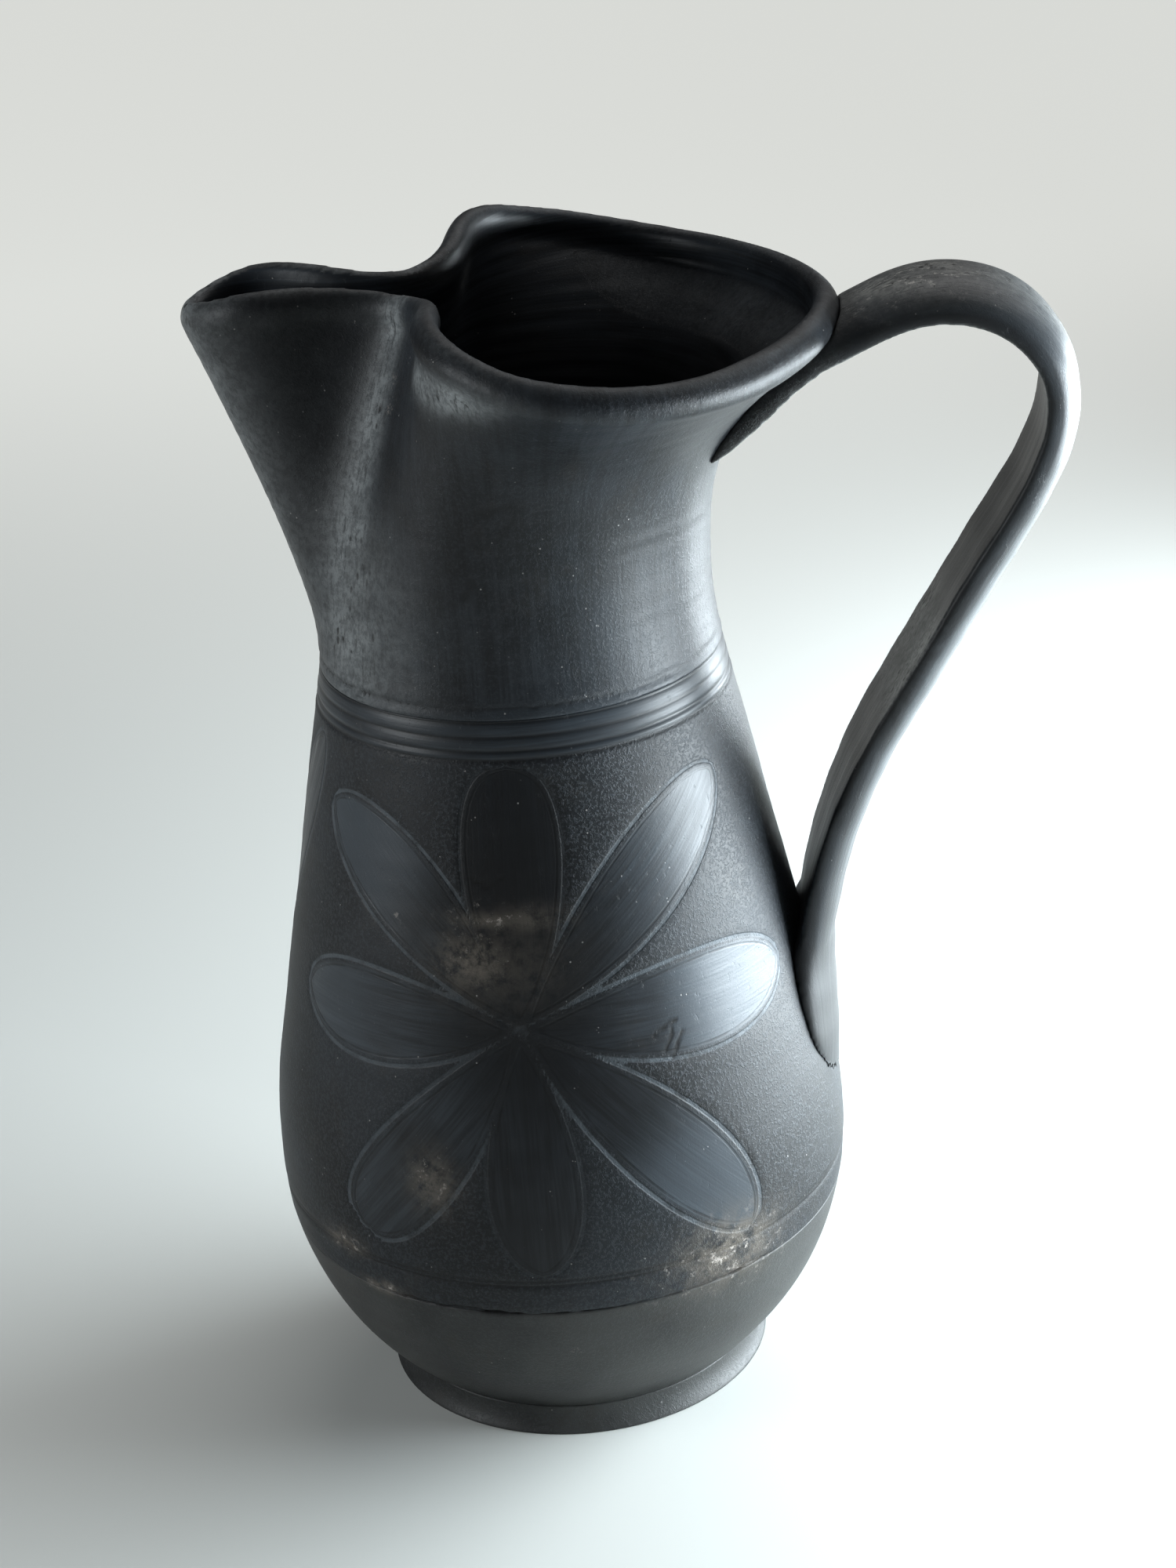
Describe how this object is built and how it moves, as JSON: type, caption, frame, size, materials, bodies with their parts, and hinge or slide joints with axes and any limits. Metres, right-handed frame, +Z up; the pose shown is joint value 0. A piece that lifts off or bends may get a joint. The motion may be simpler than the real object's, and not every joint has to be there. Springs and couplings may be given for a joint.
{
  "type": "oinochoe jug",
  "caption": "Pear-shaped pouring jug on a flared foot, with a wide mouth pinched into a spout, a rolled lip and a strap handle from lip to belly, in burnished black ceramic.",
  "frame": {"origin": "centre of the foot's flat underside, on the jug's axis", "axes": "+Z up along the jug's axis, -X towards the spout, +X towards the handle, +Y to its side"},
  "size_m": [0.2082, 0.1486, 0.2912],
  "materials": {
    "burnished_clay": "smoke-fired black, burnished to a soft graphite sheen",
    "smoked_clay": "smoke-fired dark grey, satin",
    "luted_clay": "smoke-fired grey, smeared and matte"
  },
  "bodies": {
    "root": {"foot": "smoked_clay", "lower_bowl": "smoked_clay", "belly_wall": "burnished_clay", "neck_spout": "burnished_clay", "lip_roll": "burnished_clay", "handle_strap": "burnished_clay", "handle_root": "luted_clay", "handle_tongue": "luted_clay"}
  },
  "joints": []
}
